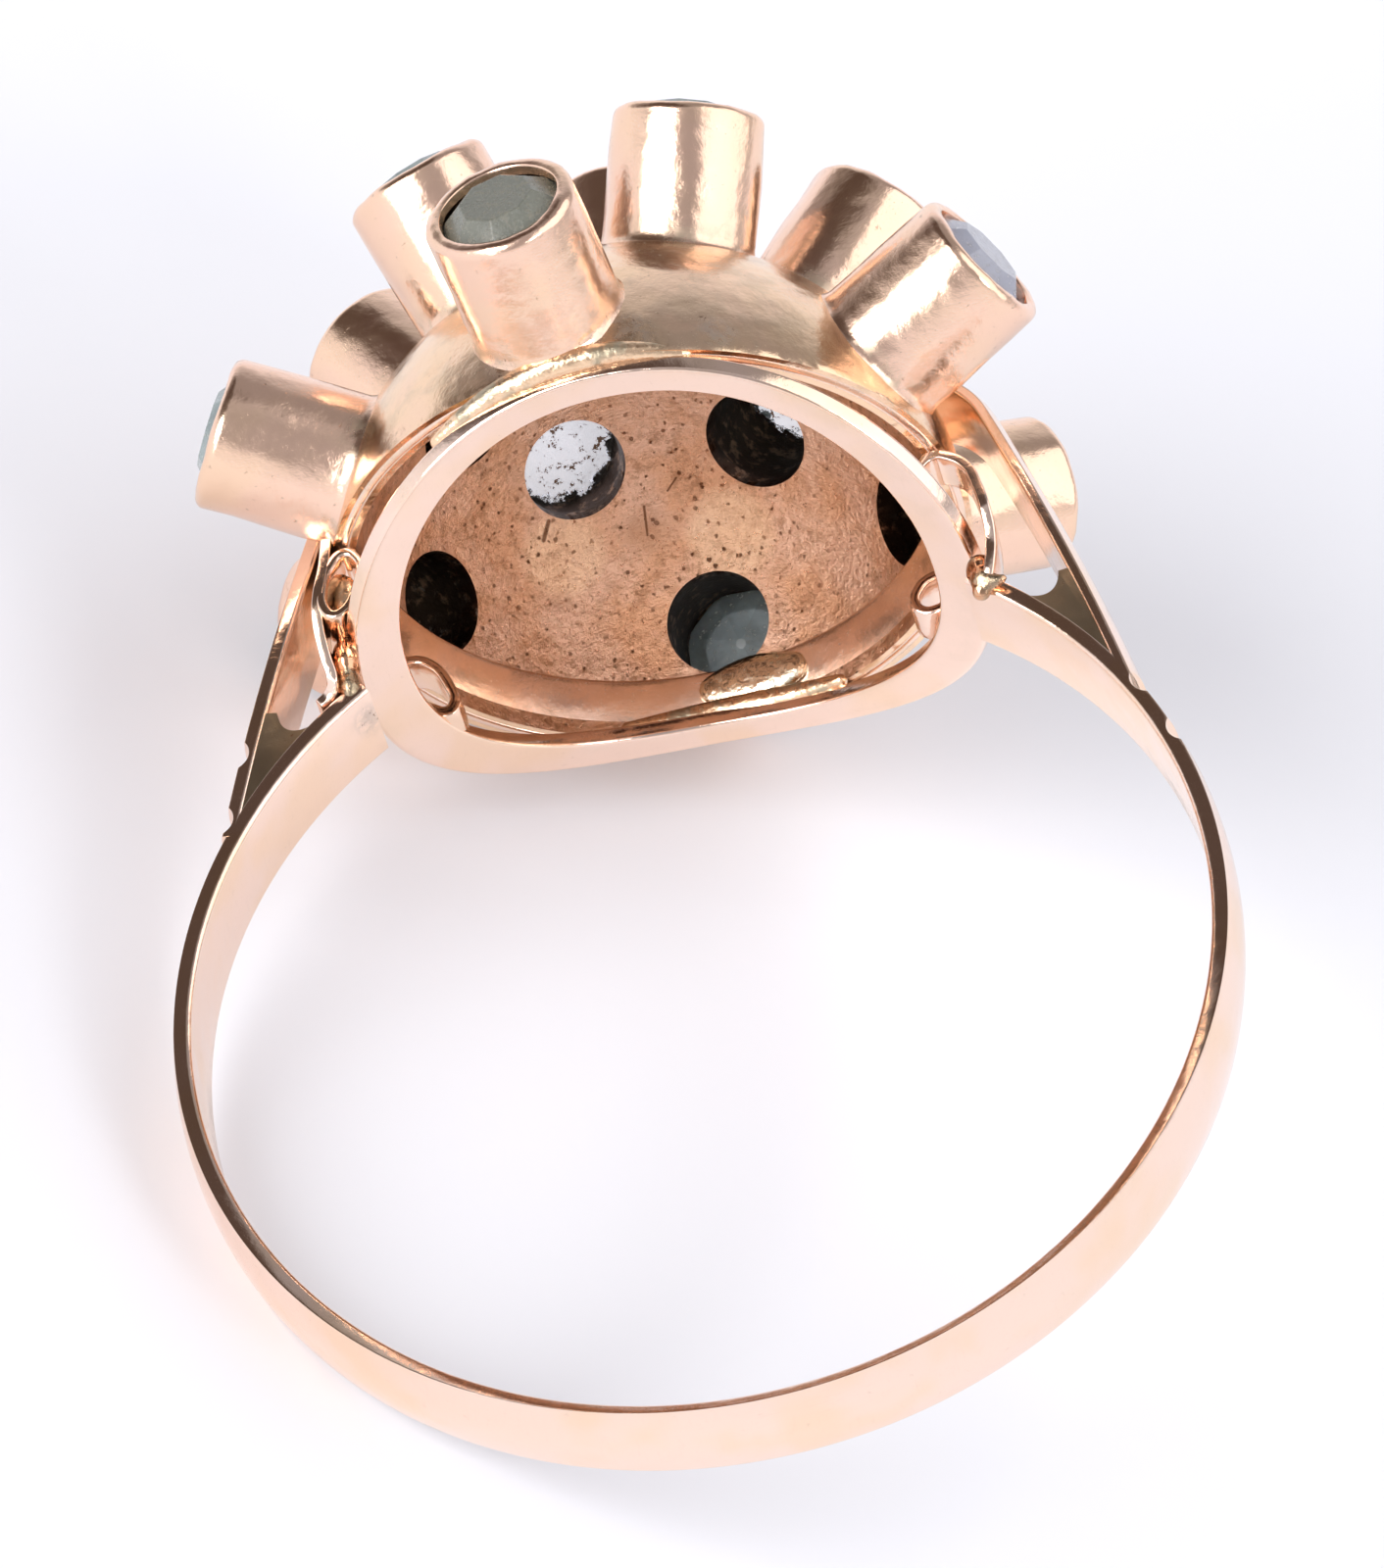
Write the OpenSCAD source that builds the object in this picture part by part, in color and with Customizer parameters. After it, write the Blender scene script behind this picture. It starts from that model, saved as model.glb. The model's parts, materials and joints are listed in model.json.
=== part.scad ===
// Cluster ring: a band that forks at the shoulders, a hollow dome head on a saddle shaped
// gallery, thirteen tube collets and a small faceted stone in each. All sizes in millimetres.
// The ring is drawn with the finger along Y and the dome towards +Z, and is then laid on its side.

/* [Band] */
// Radius of the finger hole
finger_r = 8.75; // [8.5:0.05:9]
// Width of the band along the finger
band_w = 1.75; // [1.5:0.05:2]
// Thickness of the band at its two edges
band_edge = 0.3; // [0.25:0.05:0.4]
// How much thicker the band is along its middle
band_crown = 0.12; // [0.08:0.01:0.16]

/* [Shoulders] */
// How far the outer branch stands proud of the band where it leaves it
collar = 0.06; // [0:0.02:0.1]
// Height at which the outer branch leaves the band
fork_z = 4.5; // [4.3:0.1:4.7]
// Thickness of the outer branch at its two edges
branch_edge = 0.18; // [0.15:0.01:0.25]
// How much thicker the outer branch is along its middle
branch_crown = 0.16; // [0.1:0.01:0.2]
// Distance from the middle of the ring at which the outer branch starts to bend inwards
branch_bend_x = 6.1; // [6:0.05:6.2]
// Height at which the outer branch starts to bend inwards
branch_bend_z = 10.8; // [10.6:0.1:11]
// How far the outer branch bows outwards between the fork and the bend
branch_bow = 0.1; // [0.06:0.02:0.2]
// Radius of the bend that brings the outer branch to the dome
bend_r = 1.8; // [1.6:0.1:2]
// Angle of that bend
bend_angle = 70; // [65:1:75]
// Radius of the round crotch between the two branches
crotch_r = 0.38; // [0.3:0.02:0.46]
// How far the web in the fork stands back from the edges of the band
web_recess = 0.08; // [0.04:0.01:0.15]
// Radius of the round cuts across the outside of each shoulder
notch_r = 0.16; // [0.1:0.02:0.2]
// Depth of the round cuts
notch_depth = 0.13; // [0.08:0.01:0.16]
// Heights of the two cuts on the left shoulder
left_notches = [4.85, 6.19];
// Heights of the two cuts on the right shoulder
right_notches = [3.2, 4.35];

/* [Gallery] */
// Half the gallery's length across the ring
gallery_x = 5.4; // [5.3:0.05:5.5]
// Half the gallery's length along the finger
gallery_y = 5.55; // [5.45:0.05:5.65]
// Radius of the gallery's rounded corners
gallery_corner = 4.9; // [4.7:0.05:5.1]
// Width of the gallery strip
gallery_w = 0.82; // [0.7:0.02:0.9]
// Thickness of the gallery strip
gallery_t = 0.34; // [0.3:0.02:0.4]
// Radius of the saddle that the gallery's finger side follows
saddle_r = 9.27; // [9.2:0.01:9.35]

/* [Dome] */
// Sideways offset of the hand set head
head_x = -0.2; // [-0.25:0.05:0]
// Height of the dome's centre over the finger's centre
dome_z = 9.36; // [9.3:0.02:9.44]
// Inner radius of the dome
dome_in = 5.18; // [5.1:0.02:5.26]
// Wall of the dome
dome_wall = 0.38; // [0.34:0.02:0.44]
// Height of the dome's lower edge over its centre
dome_skirt = 0.74; // [0.7:0.02:0.8]
// Inner radius of the rim strip in the dome's mouth
rim_in = 5.12; // [5.08:0.02:5.14]
// Thickness of the rim strip
rim_t = 0.29; // [0.26:0.01:0.32]
// Height of the rim strip
rim_h = 1.05; // [1:0.01:1.1]

/* [Collets] */
// Outer radius of each tube collet
collet_r = 1.36; // [1.3:0.02:1.4]
// Distance of the collet tips from the dome's centre
collet_tip = 7.93; // [7.7:0.05:8.1]
// Inner radius of the tube between the dome and the stone's seat
tube_r = 1.04; // [1:0.02:1.08]
// Radius of the hole through the dome behind each stone
bore_r = 0.92; // [0.86:0.02:0.96]
// Radius of the rounded outer edge at each tip
lip_round = 0.2; // [0.14:0.02:0.22]
// Radius of the opening that the lip leaves over the stone
lip_r = 1.05; // [1:0.01:1.08]
// Thickness of the lip over the stone's girdle
lip_t = 0.2; // [0.16:0.02:0.24]
// Azimuth from -Y towards +X and elevation of each collet: the lower row, the middle row and the top
collets = [
    [-69, 18], [-8, 17], [64, 20], [119, 21], [175, 24], [240, 21],
    [-37, 51], [28, 60], [83, 53], [145, 55], [213, 56], [263, 52],
    [0, 90]
];

/* [Stones] */
// Girdle radius of each stone
girdle_r = 1.12; // [1.08:0.01:1.13]
// Radius of the table
table_r = 0.66; // [0.58:0.02:0.74]
// Height of the crown over the girdle
crown_h = 0.42; // [0.36:0.02:0.46]
// Depth of the pavilion under the girdle
pavilion_h = 0.66; // [0.6:0.02:0.7]
// Clearance round the stone in its seat
stone_gap = 0.04; // [0.02:0.01:0.06]

/* [Scrolls and solder] */
// Thickness of the scroll strip
scroll_t = 0.15; // [0.12:0.01:0.2]
// Width of the scroll strip along the finger
scroll_w = 0.8; // [0.6:0.05:0.9]
// Place across the ring, along the finger and upwards of each loop's middle, and its width and height
loops = [
    [-5.35, -1.4, 8.87, 0.95, 1.45],
    [-4.6, 1.5, 8.8, 1.25, 1.6],
    [5.1, -1.1, 8.5, 1.25, 2.3],
    [4.6, 1.5, 8.75, 1.15, 1.7]
];
// Radius of the open curl under the left front loop
curl_r = 0.6; // [0.54:0.02:0.66]
// Radius of the solder at each joint between shoulder and gallery
joint_r = 0.4; // [0.34:0.02:0.44]
// Length of that solder along the finger
joint_w = 1; // [0.8:0.05:1.2]
// How far the solder round the rim stands out on either side of the strip
solder_t = 0.16; // [0.1:0.02:0.2]
// Start and end across the ring, side of the finger and height of each run of solder on the rim
solder_runs = [[-0.6, 2.2, 1, 0.85], [-1.6, 0.2, -1, 0.55]];

/* [Rest] */
// Sideways roll of the ring as it lies
rest_roll = -26.05; // [-26.5:0.05:-25.5]
// Lean of the ring as it lies
rest_lean = 9.66; // [9.3:0.02:10]
// Place of the laid ring over its resting plane
rest_shift = [0, -4.09, 4.977];

/* [Hidden] */
$fn = 96;
stone_names = ["stone_01", "stone_02", "stone_03", "stone_04", "stone_05", "stone_06", "stone_07",
    "stone_08", "stone_09", "stone_10", "stone_11", "stone_12", "stone_13"];
slack = 0.02;
band_out = finger_r + band_edge;
band_crest = band_out + band_crown;
branch_t = branch_edge + branch_crown;
// angle up the hole at which the inner branch meets the gallery
branch_end = acos(gallery_x / band_out);
dome_out = dome_in + dome_wall;
rim_z = saddle_r + gallery_t - 0.04;
// height of the stone's girdle in its collet, and of the seat under it
girdle_z = collet_tip - lip_t - stone_gap - 0.06;
seat_z = girdle_z - (girdle_r - tube_r) * pavilion_h / (girdle_r - 0.2) - stone_gap;
// the crest of the outer branch follows an arc from the fork to the bend
fork = [sqrt(pow(band_crest + collar, 2) - pow(fork_z, 2)), fork_z];
bend = [branch_bend_x, branch_bend_z];
chord = norm(bend - fork);
branch_r = (pow(chord / 2, 2) + pow(branch_bow, 2)) / (2 * branch_bow);
outwards = [bend[1] - fork[1], fork[0] - bend[0]] / chord;
branch_c = (fork + bend) / 2 - outwards * (branch_r - branch_bow);
branch_mid = atan2(outwards[1], outwards[0]);
branch_half = asin(chord / 2 / branch_r);
bend_c = bend - (bend - branch_c) / branch_r * bend_r;
// centre of the crotch: it touches the inner branch from outside and the outer branch from inside
crotch_in = band_out + crotch_r;
crotch_out = branch_r - branch_t - crotch_r;
to_branch = norm(branch_c);
crotch_a = (pow(crotch_in, 2) - pow(crotch_out, 2) + pow(to_branch, 2)) / (2 * to_branch);
crotch_b = sqrt(pow(crotch_in, 2) - pow(crotch_a, 2));
crotch = (crotch_a * branch_c + crotch_b * [branch_c[1], -branch_c[0]]) / to_branch;

// Crest of a shoulder at a given height, as the distance from the middle of the ring
function crest_x(z) = z < fork_z ? sqrt(pow(band_crest, 2) - pow(z, 2)) :
    branch_c[0] + sqrt(pow(branch_r, 2) - pow(z - branch_c[1], 2));

// Lays everything that is drawn upright on its side
module laid() {
    translate(rest_shift)
        rotate([rest_lean, 0, 0])
            rotate([0, rest_roll, 0])
                rotate([-90, 0, 0])
                    children();
}

// Turns a shape drawn in a plane across the finger upright, and centres it along the finger
module across(width) {
    rotate([90, 0, 0])
        linear_extrude(height = width, center = true)
            children();
}

// Strip swept round the finger's direction from one angle up from +X: flat inside, crowned outside
module strip_arc(radius, edge, crown, start, sweep) {
    crown_r = (pow(band_w / 2, 2) + pow(crown, 2)) / (2 * crown);
    rotate([90, 0, 0])
        rotate([0, 0, start])
            rotate_extrude(angle = sweep, $fn = 180)
                intersection() {
                    translate([radius, -band_w / 2])
                        square([edge + crown, band_w]);
                    translate([radius + edge + crown - crown_r, 0])
                        circle(crown_r, $fn = 240);
                }
}

// Round band from the end of one inner branch to the end of the other
module band() {
    strip_arc(finger_r, band_edge, band_crown, 180 - branch_end, 180 + 2 * branch_end);
}

// The outer branch of a shoulder, from the fork to the dome
module outer_branch() {
    translate([branch_c[0], 0, branch_c[1]])
        strip_arc(branch_r - branch_t, branch_edge, branch_crown, branch_mid - branch_half, 2 * branch_half);
    translate([bend_c[0], 0, bend_c[1]])
        strip_arc(bend_r - branch_t, branch_edge, branch_crown, branch_mid + branch_half - 0.5, bend_angle);
}

// Web that fills the fork up to its round crotch
module fork_web() {
    in_metal = band_edge / 3;
    across(band_w - 2 * web_recess)
        difference() {
            polygon([
                fork - [band_crown + band_edge / 2, 0],
                branch_c + (crotch - branch_c) * (crotch_out + crotch_r + in_metal) / crotch_out,
                crotch,
                crotch * (band_out - in_metal) / crotch_in
            ]);
            translate(crotch)
                circle(crotch_r);
        }
}

// Round cuts across the outside of a shoulder
module notches(heights) {
    for (z = heights)
        translate([crest_x(z) + notch_r - notch_depth, 0, z])
            rotate([90, 0, 0])
                cylinder(h = band_w + 1, r = notch_r, center = true, $fn = 24);
}

// Forked end of the band on the +X side, with its cuts at the given heights
module shoulder(heights) {
    difference() {
        union() {
            outer_branch();
            fork_web();
        }
        notches(heights);
    }
}

module shank() {
    difference() {
        union() {
            difference() {
                band();
                notches(right_notches);
            }
            shoulder(right_notches);
            mirror([1, 0, 0])
                shoulder(left_notches);
        }
        // the outer branches stop inside the dome's wall
        translate([head_x, 0, dome_z])
            sphere(dome_in + dome_wall / 2);
    }
}

// Outline of the gallery: a square of arcs, nearly round
module gallery_outline(inset) {
    half_x = gallery_x - inset;
    half_y = gallery_y - inset;
    corner = gallery_corner - inset;
    square([2 * (half_x - corner), 2 * half_y], center = true);
    square([2 * half_x, 2 * (half_y - corner)], center = true);
    for (x = [-1, 1], y = [-1, 1])
        translate([x * (half_x - corner), y * (half_y - corner)])
            circle(corner);
}

module gallery() {
    intersection() {
        linear_extrude(height = saddle_r + 2 * gallery_t)
            difference() {
                gallery_outline(0);
                gallery_outline(gallery_w);
            }
        rotate([90, 0, 0])
            difference() {
                cylinder(h = 3 * gallery_y, r = saddle_r + gallery_t, center = true, $fn = 180);
                cylinder(h = 4 * gallery_y, r = saddle_r, center = true, $fn = 180);
            }
    }
}

// Upright strip in the dome's mouth, or a ring round it
module rim(height, inner, outer) {
    translate([head_x, 0, rim_z])
        difference() {
            cylinder(h = height, r = outer);
            translate([0, 0, -1])
                cylinder(h = height + 2, r = inner);
        }
}

// Turns a shape that stands along Z to a collet's direction from the dome's centre
module along(direction) {
    translate([head_x, 0, dome_z])
        rotate([0, 0, direction[0] - 90])
            rotate([0, 90 - direction[1], 0])
                children();
}

module collet_body() {
    foot = dome_in + 0.06;
    translate([0, 0, foot])
        rotate_extrude()
            union() {
                square([collet_r, collet_tip - lip_round - foot]);
                square([collet_r - lip_round, collet_tip - foot]);
                translate([collet_r - lip_round, collet_tip - lip_round - foot])
                    circle(lip_round, $fn = 32);
            }
}

// Hole through the dome, wider tube, seat and lip of a collet
module collet_bore() {
    tube_z = dome_out - 0.1;
    translate([0, 0, dome_in - 1])
        rotate_extrude()
            union() {
                square([bore_r, collet_tip - dome_in]);
                translate([0, tube_z - dome_in + 1])
                    square([tube_r, seat_z - tube_z + slack]);
                translate([0, seat_z - dome_in + 1])
                    square([girdle_r + stone_gap, collet_tip - lip_t - seat_z]);
                translate([0, seat_z - dome_in + 1])
                    square([lip_r, 2]);
            }
}

module head() {
    difference() {
        union() {
            difference() {
                translate([head_x, 0, dome_z])
                    sphere(dome_out, $fn = 160);
                translate([head_x - 10, -10, dome_z + dome_skirt - 20])
                    cube([20, 20, 20]);
            }
            for (direction = collets)
                along(direction)
                    collet_body();
        }
        translate([head_x, 0, dome_z])
            sphere(dome_in, $fn = 160);
        for (direction = collets)
            along(direction)
                collet_bore();
    }
}

// Upright slot outline, with round ends
module slot(width, height) {
    square([width, height - width], center = true);
    for (end = [-1, 1])
        translate([0, end * (height - width) / 2])
            circle(width / 2, $fn = 48);
}

// Puts a flat scroll shape at its place along the finger, clear of the finger's own room
module scroll(along_finger) {
    difference() {
        translate([0, along_finger, 0])
            across(scroll_w)
                children();
        rotate([90, 0, 0])
            cylinder(h = 6 * gallery_y, r = saddle_r, center = true, $fn = 180);
    }
}

// Closed loop between rim and gallery
module loop(place) {
    scroll(place[1])
        translate([place[0], place[2]])
            difference() {
                slot(place[3], place[4]);
                slot(place[3] - 2 * scroll_t, place[4] - 2 * scroll_t);
            }
}

// Open curl from a loop's foot down to the end of the left shoulder
module curl(place) {
    scroll(place[1])
        translate([place[0], place[2] - place[4] / 2 - curl_r + scroll_t])
            difference() {
                circle(curl_r, $fn = 48);
                circle(curl_r - scroll_t, $fn = 48);
                translate([curl_r, 0])
                    square(2 * curl_r, center = true);
            }
}

// Solder where the inner branches meet the gallery, and the runs that join the gallery to the rim
module solder() {
    for (side = [-1, 1])
        difference() {
            translate([side * gallery_x, 0, sqrt(pow(saddle_r, 2) - pow(gallery_x, 2))])
                rotate([90, 0, 0])
                    cylinder(h = joint_w, r = joint_r, center = true, $fn = 32);
            rotate([90, 0, 0])
                cylinder(h = 2 * band_w, r = finger_r + 0.1, center = true);
        }
    for (run = solder_runs)
        intersection() {
            translate([0, 0, -0.2])
                rim(run[3], rim_in - solder_t, rim_in + rim_t + solder_t / 4);
            translate([run[0], min(0, 7 * run[2]), 0])
                cube([run[1] - run[0], 7, 20]);
        }
}

module mount() {
    color("#d9a380")
        laid() {
            shank();
            gallery();
            rim(rim_h, rim_in, rim_in + rim_t);
            head();
            for (place = loops)
                loop(place);
            curl(loops[0]);
            solder();
        }
}

// A cut stone, table up, with its girdle at z = 0: sixteen girdle facets and eight main facets
module stone() {
    girdle_rise = 0.8;
    culet_r = 0.1;
    intersection() {
        union() {
            cylinder(h = crown_h, r1 = girdle_r, r2 = girdle_r - crown_h * girdle_rise, $fn = 16);
            mirror([0, 0, 1])
                cylinder(h = pavilion_h, r1 = girdle_r, r2 = 2 * culet_r, $fn = 16);
        }
        union() {
            cylinder(h = crown_h, r1 = girdle_r + 0.06, r2 = table_r, $fn = 8);
            mirror([0, 0, 1])
                cylinder(h = pavilion_h, r1 = girdle_r + 0.06, r2 = culet_r, $fn = 8);
        }
    }
}

module set_stone(direction) {
    color("#8e9a9c")
        laid()
            along(direction)
                translate([0, 0, girdle_z])
                    stone();
}

mount();
for (i = [0 : len(stone_names) - 1])
    set_stone(collets[i]);
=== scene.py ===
"""A rose gold cluster ring with thirteen pale stones, lying on its side on a pale floor.

Every piece is modelled upright and in millimetres, with the finger along Y and the dome towards
+Z, and is then laid on its side in metres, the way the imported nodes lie.
"""

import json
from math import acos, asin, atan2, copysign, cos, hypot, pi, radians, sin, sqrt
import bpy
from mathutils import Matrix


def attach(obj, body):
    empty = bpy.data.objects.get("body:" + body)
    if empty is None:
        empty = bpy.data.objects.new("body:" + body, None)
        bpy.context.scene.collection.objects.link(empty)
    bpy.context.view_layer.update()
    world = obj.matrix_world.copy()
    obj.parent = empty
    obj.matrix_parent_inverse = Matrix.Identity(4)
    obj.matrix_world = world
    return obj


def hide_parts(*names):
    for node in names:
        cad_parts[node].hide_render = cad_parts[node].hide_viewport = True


bl_info = {
    "name": "Cluster Ring",
    "version": (1, 0, 0),
    "blender": (4, 5, 0),
    "location": "3D View > Sidebar > Ring",
    "description": "Models a worn gold cluster ring with thirteen faceted stones",
    "category": "Add Mesh",
}

import bmesh
import bpy
from bpy.props import FloatProperty, FloatVectorProperty, PointerProperty
from mathutils import Matrix, Vector

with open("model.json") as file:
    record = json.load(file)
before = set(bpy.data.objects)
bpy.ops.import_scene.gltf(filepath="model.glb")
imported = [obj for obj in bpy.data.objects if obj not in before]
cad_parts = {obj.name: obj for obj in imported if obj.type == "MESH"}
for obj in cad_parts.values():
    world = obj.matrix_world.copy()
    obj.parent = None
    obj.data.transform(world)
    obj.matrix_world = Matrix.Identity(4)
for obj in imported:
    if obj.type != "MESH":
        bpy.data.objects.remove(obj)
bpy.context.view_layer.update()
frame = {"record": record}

# The finger hole's place and axis say how the upright ring was laid down
HOLE = next(mount for mount in frame["record"]["mounts"] if mount["name"] == "finger_hole")
AXIS = Vector(HOLE["axis"])
LEAN = Matrix.Rotation(atan2(-AXIS.y, AXIS.z), 4, "X")
ROLL = Matrix.Rotation(asin(AXIS.x), 4, "Y")
LAY_TURN = LEAN @ ROLL @ Matrix.Rotation(-pi / 2, 4, "X")
MM = 0.001
LAY = Matrix.Translation(HOLE["pos_m"]) @ LAY_TURN @ Matrix.Scale(MM, 4)

# Azimuth from -Y towards +X, and elevation, of each collet and its stone, in degrees
COLLETS = {
    "stone_01": (-69, 18),
    "stone_02": (-8, 17),
    "stone_03": (64, 20),
    "stone_04": (119, 21),
    "stone_05": (175, 24),
    "stone_06": (240, 21),
    "stone_07": (-37, 51),
    "stone_08": (28, 60),
    "stone_09": (83, 53),
    "stone_10": (145, 55),
    "stone_11": (213, 56),
    "stone_12": (263, 52),
    "stone_13": (0, 90),
}


def size(label, default, least=0.0):
    """Property for a size in millimetres."""
    about = label + ", in millimetres"
    return FloatProperty(name=label, default=default, min=least, precision=3, description=about)


def degrees(label, default):
    """Property for an angle."""
    about = label + ", as an angle"
    return FloatProperty(name=label, default=radians(default), subtype="ANGLE", description=about)


def colour(label, default):
    """Property for a colour."""
    about = "Colour of the " + label.lower()
    return FloatVectorProperty(
        name=label, default=default, min=0.0, max=1.0, size=3, subtype="COLOR", description=about
    )


def watts(label, default):
    """Property for the strength of lights."""
    about = label + ", in watts a square metre"
    return FloatProperty(name=label, default=default, min=0.0, description=about)


class ShankSizes(bpy.types.PropertyGroup):
    finger_r: size("Radius of the finger hole", 8.75)
    width: size("Width of the band", 1.75)
    edge: size("Thickness of the band's edges", 0.3)
    crown: size("Rise of the band's middle", 0.12)
    worn: size("Wear of the front edge", 0.2)
    branch_edge: size("Thickness of the branches' edges", 0.18)
    branch_crown: size("Rise of the branches' middle", 0.2)
    left_crown: size("Rise of the left branch's middle", 0.11)
    collar: size("Step from band to branch", 0.06)
    fork_z: size("Height of the forks", 4.5)
    bend_x: size("Distance across to the bend", 6.1)
    bend_z: size("Height of the bend", 10.8)
    bow: size("Bow of the branch below the bend", 0.1)
    bend_r: size("Radius of the bend", 1.8)
    bend_angle: degrees("Turn of the bend", 70)
    crotch_x: size("Distance across to the crotch", 6.66)
    crotch_z: size("Height of the crotch", 6.5)
    crotch_w: size("Half the crotch's width", 0.75)
    crotch_l: size("Half the crotch's length", 2.0)
    web_arm: size("Climb of the web's arms", 0.45)
    web_recess: size("Web's distance from the edges", 0.02)
    notch_r: size("Radius of the shoulder cuts", 0.34)
    notch_depth: size("Depth of the shoulder cuts", 0.24)


class HeadSizes(bpy.types.PropertyGroup):
    gallery_x: size("Half the gallery's length across", 5.4)
    gallery_w: size("Width of the gallery's sides", 0.8)
    gallery_front: size("Width of the gallery's front", 0.62)
    gallery_rear: size("Width of the gallery's rear", 0.58)
    opening_y: size("Half the opening along the finger", 4.75)
    gallery_t: size("Thickness of the gallery", 0.34)
    saddle_r: size("Radius of the gallery's finger side", 9.27)
    head_x: size("Shift of the head across the ring", -0.2, least=-1.0)
    dome_z: size("Height of the dome's centre", 9.36)
    dome_in: size("Inner radius of the dome", 5.18)
    dome_wall: size("Wall of the dome", 0.38)
    skirt: size("Dome's lower edge over its centre", 0.2)
    rim_in: size("Inner radius of the rim", 4.95)
    rim_t: size("Thickness of the rim", 0.2)
    rim_h: size("Height of the rim", 1.1)
    rim_flare: size("Flare of the rim's foot", 0.35)
    rim_crown: size("Bulge of the rim's inner side", 0.05)


class ColletSizes(bpy.types.PropertyGroup):
    radius: size("Outer radius of a collet", 1.36)
    tip: size("Distance of the tips from the dome's centre", 7.93)
    tube_r: size("Inner radius of the tube", 1.04)
    bore_r: size("Radius of the bore through the dome", 0.92)
    lip_round: size("Radius of the tip's rounded edge", 0.2)
    lip_r: size("Radius of the lip's opening", 1.05)
    lip_t: size("Thickness of the lip", 0.2)
    foot: size("Radius of the solder round the foot", 0.2)


class StoneSizes(bpy.types.PropertyGroup):
    girdle_r: size("Radius of the girdle", 1.12)
    table_r: size("Radius of the table", 0.66)
    crown_h: size("Height of the crown", 0.42)
    pavilion_h: size("Depth of the pavilion", 0.66)
    gap: size("Clearance round the stone", 0.04)
    wear: size("Width of the worn facet edges", 0.018)


class ScrollSizes(bpy.types.PropertyGroup):
    thickness: size("Thickness of the strip", 0.19)
    width: size("Width of the strip", 0.8)


class Finishes(bpy.types.PropertyGroup):
    rose: colour("Polished rose gold", (0.98, 0.75, 0.62))
    # The yellow also colours the painted highlights inside the dome
    yellow: colour("Yellower outside of the dome", (0.95, 0.68, 0.45))
    collet: colour("Redder gold of the collets", (0.97, 0.67, 0.51))
    inside: colour("Brushed inside of the dome", (0.75, 0.43, 0.26))
    olive: colour("Dull solder stains", (0.5, 0.43, 0.31))
    # The brown also colours the painted dark reflection inside the dome, besides the brown film
    brown: colour("Brown film inside the dome", (0.36, 0.18, 0.09))
    web: colour("Webs in the forks", (0.36, 0.28, 0.19))
    # Paler than the gold as solder is, and paler still as a painted highlight on the pool
    solder: colour("Bright pool of solder", (1.0, 0.92, 0.74))
    silver: colour("Grey spots in the solder", (0.48, 0.42, 0.37))
    tarnish: colour("Tarnish in pits and corners", (0.16, 0.07, 0.035))
    # Near black partly for tarnish and partly as painted shade of the deep tubes and the dome's bores
    tube: colour("Tarnished tubes behind the stones", (0.075, 0.04, 0.025))
    stone: colour("Pale stones", (0.55, 0.64, 0.64))
    front_stone: colour("Darker, rubbed stone in front", (0.3, 0.31, 0.26))
    side_stone: colour("Clearer stone at the right", (0.66, 0.68, 0.8))
    # Colour of the glowing sheet of painted light behind two stones
    glow_colour: colour("Pale crust behind two stones", (0.9, 0.91, 0.97))


class StageSettings(bpy.types.PropertyGroup):
    azimuth: degrees("Camera's turn round the ring", -19.209)
    elevation: degrees("Camera's height over the floor", 40.096)
    tilt: degrees("Camera's roll", 18.397)
    distance: size("Camera's distance from its target", 250)
    target_x: size("Camera's target along X", -0.596, least=-10)
    target_y: size("Camera's target along Y", -1.645, least=-10)
    target_z: size("Camera's target along Z", 7.486)
    lens: size("Focal length on a 36 millimetre sensor", 339.5)
    floor: colour("Floor", (0.85, 0.86, 0.91))
    side_lights: watts("Two soft lights at the sides", 2.25)
    front_lights: watts("Two small lights in front", 0.55)
    sweep: colour("Surroundings just over the floor", (0.95, 0.94, 1.0))
    room: colour("Surroundings behind the ring", (0.55, 0.55, 0.58))
    front_room: colour("Surroundings behind the camera", (0.4, 0.39, 0.41))
    dark_room: colour("Dark gap in the surroundings", (0.09, 0.065, 0.055))


def props(name):
    """One of this add-on's property groups."""
    return getattr(bpy.context.scene, "ring_" + name)


# Small tools for modelling


def clear():
    """Leave edit mode and select nothing."""
    if bpy.context.mode != "OBJECT":
        bpy.ops.object.mode_set(mode="OBJECT")
    bpy.ops.object.select_all(action="DESELECT")


def only(*pieces):
    """Select these pieces alone, the first one active."""
    clear()
    for piece in pieces:
        piece.select_set(True)
    bpy.context.view_layer.objects.active = pieces[0]


def edit(piece):
    """Edit one piece, with all of it selected."""
    only(piece)
    bpy.ops.object.mode_set(mode="EDIT")
    bpy.ops.mesh.select_all(action="SELECT")


def started(name):
    """Name the primitive that was just added, put its place into its mesh and return it."""
    piece = bpy.context.object
    piece.name = name
    piece.data.name = name
    bpy.ops.object.transform_apply(location=True, rotation=True, scale=True)
    return piece


def choose(piece, kind, test=lambda part: True):
    """In edit mode, select only the parts (VERT, EDGE or FACE) that pass the test."""
    bpy.ops.mesh.select_mode(type=kind)
    bpy.ops.mesh.select_all(action="DESELECT")
    mesh = bmesh.from_edit_mesh(piece.data)
    for part in {"VERT": mesh.verts, "EDGE": mesh.edges, "FACE": mesh.faces}[kind]:
        if test(part):
            part.select_set(True)
    bmesh.update_edit_mesh(piece.data)


def pull(way):
    """Extrude the selected edges along a way."""
    bpy.ops.mesh.extrude_edges_move(TRANSFORM_OT_translate={"value": way})


def modify(piece, kind, **settings):
    """Add a modifier with these settings and apply it."""
    only(piece)
    modifier = piece.modifiers.new(kind.title(), kind)
    for name, value in settings.items():
        setattr(modifier, name, value)
    bpy.ops.object.modifier_apply(modifier=modifier.name)


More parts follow.
